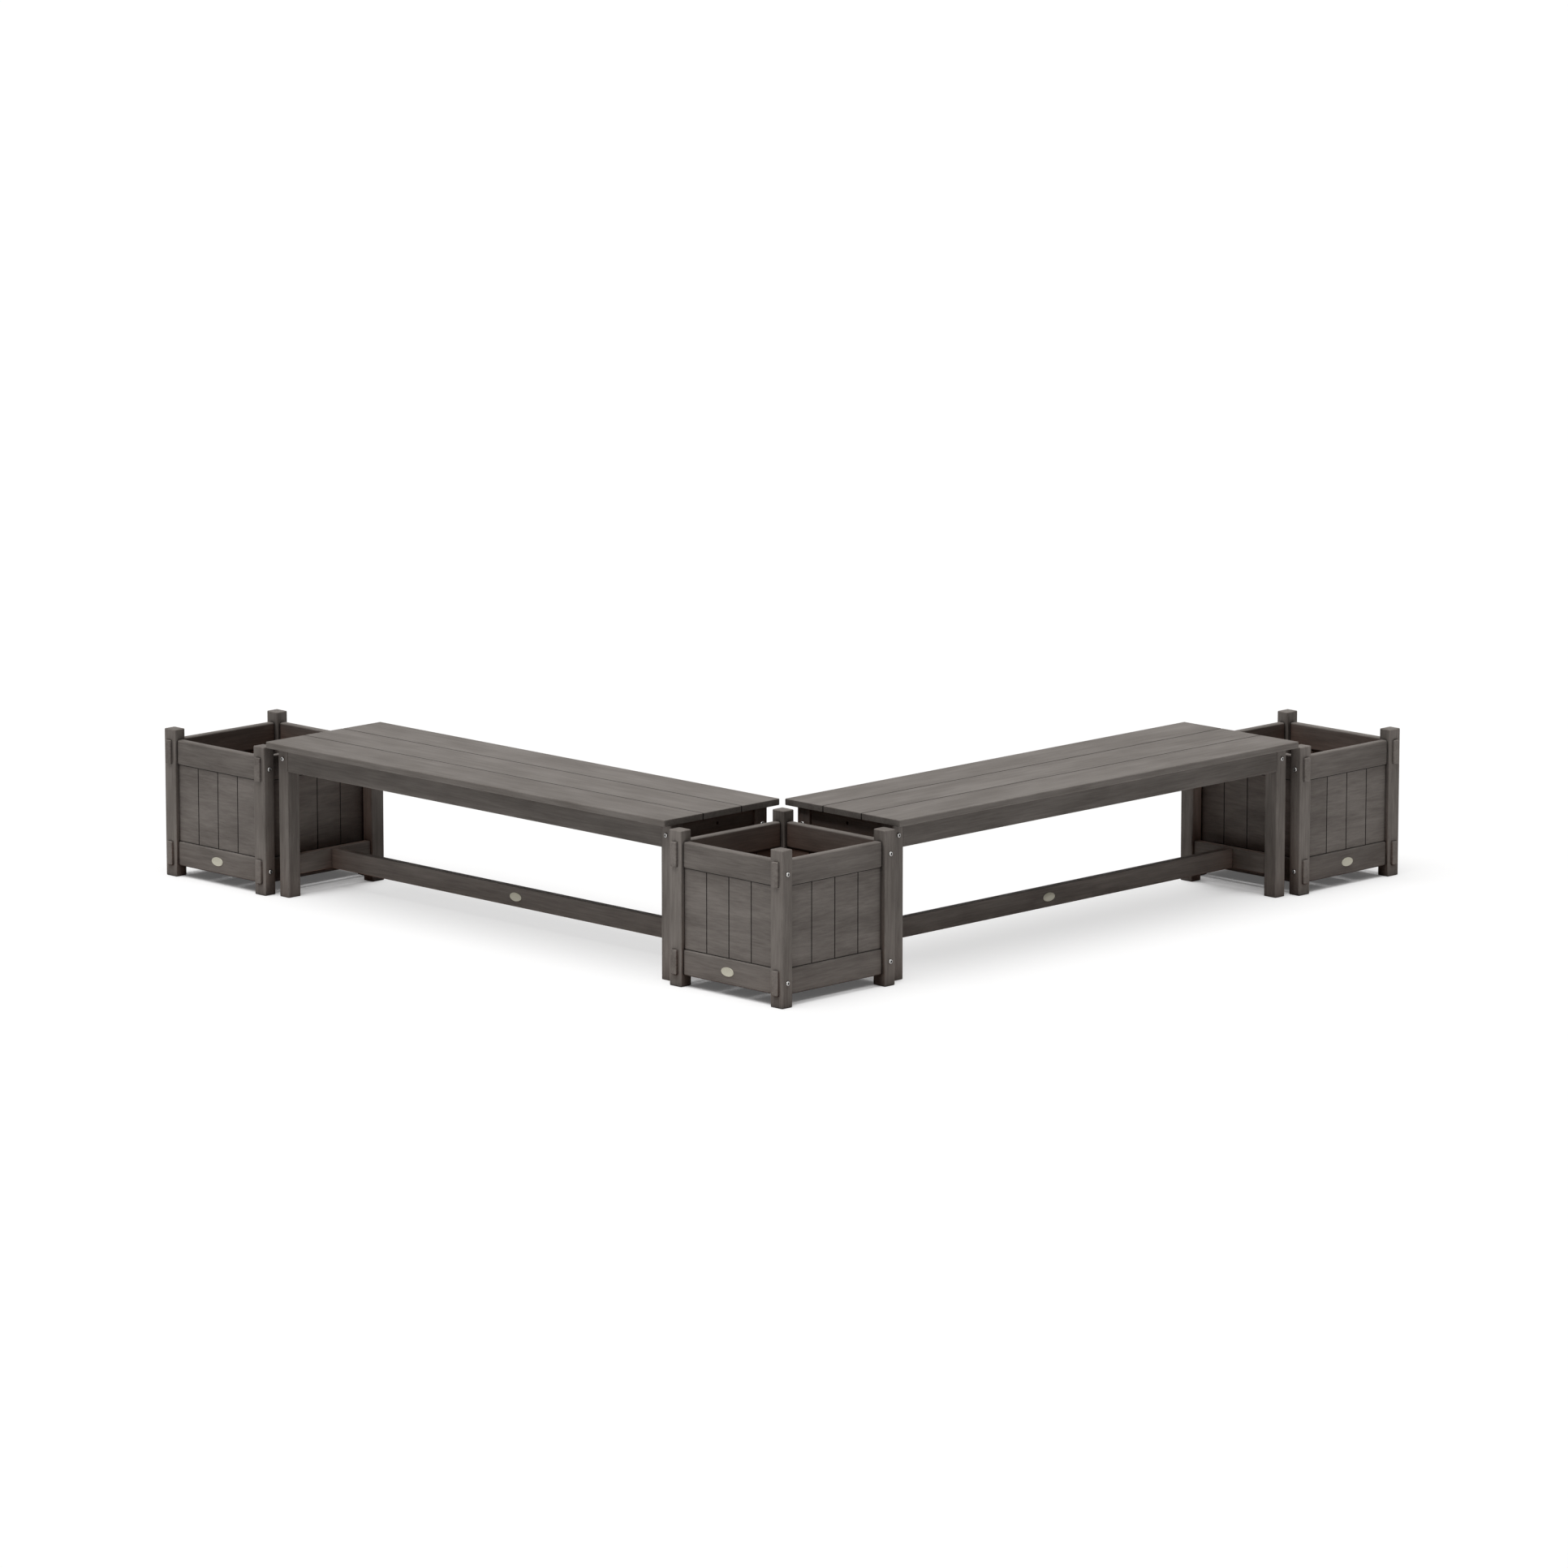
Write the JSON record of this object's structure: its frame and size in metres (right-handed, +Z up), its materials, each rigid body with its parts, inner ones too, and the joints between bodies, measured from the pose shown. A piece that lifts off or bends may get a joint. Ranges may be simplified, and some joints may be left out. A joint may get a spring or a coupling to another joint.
{
  "type": "corner bench with planters",
  "caption": "L-shaped outdoor set of backless trestle benches and slatted square planter boxes in wood-grained lumber with through tenons",
  "frame": {"origin": "centre of the set's bounding box at floor level", "axes": "+Z up, +X along the right bench from the corner planter, +Y along the left bench from the corner planter"},
  "size_m": [2.4254, 2.4214, 0.432],
  "materials": {
    "lumber": "matte, fine embossed wood grain",
    "screw_steel": "polished stainless",
    "plate_metal": "satin"
  },
  "bodies": {
    "root": {"corner_planter_back_post": "lumber", "corner_planter_butted_rails": "lumber", "corner_planter_floor_boards": "lumber", "corner_planter_front_post": "lumber", "corner_planter_left_post": "lumber", "corner_planter_right_post": "lumber", "corner_planter_screw_heads": "screw_steel", "corner_planter_slats": "lumber", "corner_planter_tenoned_rails": "lumber", "left_bench_back_apron": "lumber", "left_bench_centre_rail": "lumber", "left_bench_end_aprons": "lumber", "left_bench_front_apron": "lumber", "left_bench_inner_back_leg": "lumber", "left_bench_inner_end_stretcher": "lumber", "left_bench_inner_front_leg": "lumber", "left_bench_long_stretcher": "lumber", "left_bench_outer_back_leg": "lumber", "left_bench_outer_end_stretcher": "lumber", "left_bench_outer_front_leg": "lumber", "left_bench_screw_heads": "screw_steel", "left_bench_seat_battens": "lumber", "left_bench_seat_board_back": "lumber", "left_bench_seat_board_front": "lumber", "left_bench_seat_board_middle": "lumber", "left_planter_back_post": "lumber", "left_planter_butted_rails": "lumber", "left_planter_floor_boards": "lumber", "left_planter_front_post": "lumber", "left_planter_left_post": "lumber", "left_planter_right_post": "lumber", "left_planter_screw_heads": "screw_steel", "left_planter_slats": "lumber", "left_planter_tenoned_rails": "lumber", "right_bench_back_apron": "lumber", "right_bench_centre_rail": "lumber", "right_bench_end_aprons": "lumber", "right_bench_front_apron": "lumber", "right_bench_inner_back_leg": "lumber", "right_bench_inner_end_stretcher": "lumber", "right_bench_inner_front_leg": "lumber", "right_bench_long_stretcher": "lumber", "right_bench_outer_back_leg": "lumber", "right_bench_outer_end_stretcher": "lumber", "right_bench_outer_front_leg": "lumber", "right_bench_screw_heads": "screw_steel", "right_bench_seat_battens": "lumber", "right_bench_seat_board_back": "lumber", "right_bench_seat_board_front": "lumber", "right_bench_seat_board_middle": "lumber", "right_planter_back_post": "lumber", "right_planter_butted_rails": "lumber", "right_planter_floor_boards": "lumber", "right_planter_front_post": "lumber", "right_planter_left_post": "lumber", "right_planter_right_post": "lumber", "right_planter_screw_heads": "screw_steel", "right_planter_slats": "lumber", "right_planter_tenoned_rails": "lumber"}
  },
  "joints": []
}
